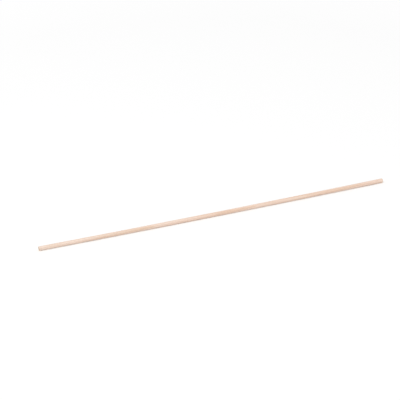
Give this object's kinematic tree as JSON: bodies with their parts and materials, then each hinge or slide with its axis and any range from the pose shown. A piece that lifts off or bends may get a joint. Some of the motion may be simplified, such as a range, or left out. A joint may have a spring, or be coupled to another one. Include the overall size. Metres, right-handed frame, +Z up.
{
  "type": "wooden skewer",
  "caption": "Round wooden skewer, long and slim, with both ends sawn blunt, for threading and holding food.",
  "frame": {"origin": "on the surface it lies on, under the middle of its length and the middle of its bow", "axes": "+X along the skewer, +Y to the side its two ends bow towards, +Z up"},
  "size_m": [0.3, 0.0044, 0.0035],
  "materials": {
    "wood": "bare pale birch, planed and tumbled, matt"
  },
  "bodies": {
    "root": {"skewer": "wood"}
  },
  "joints": []
}
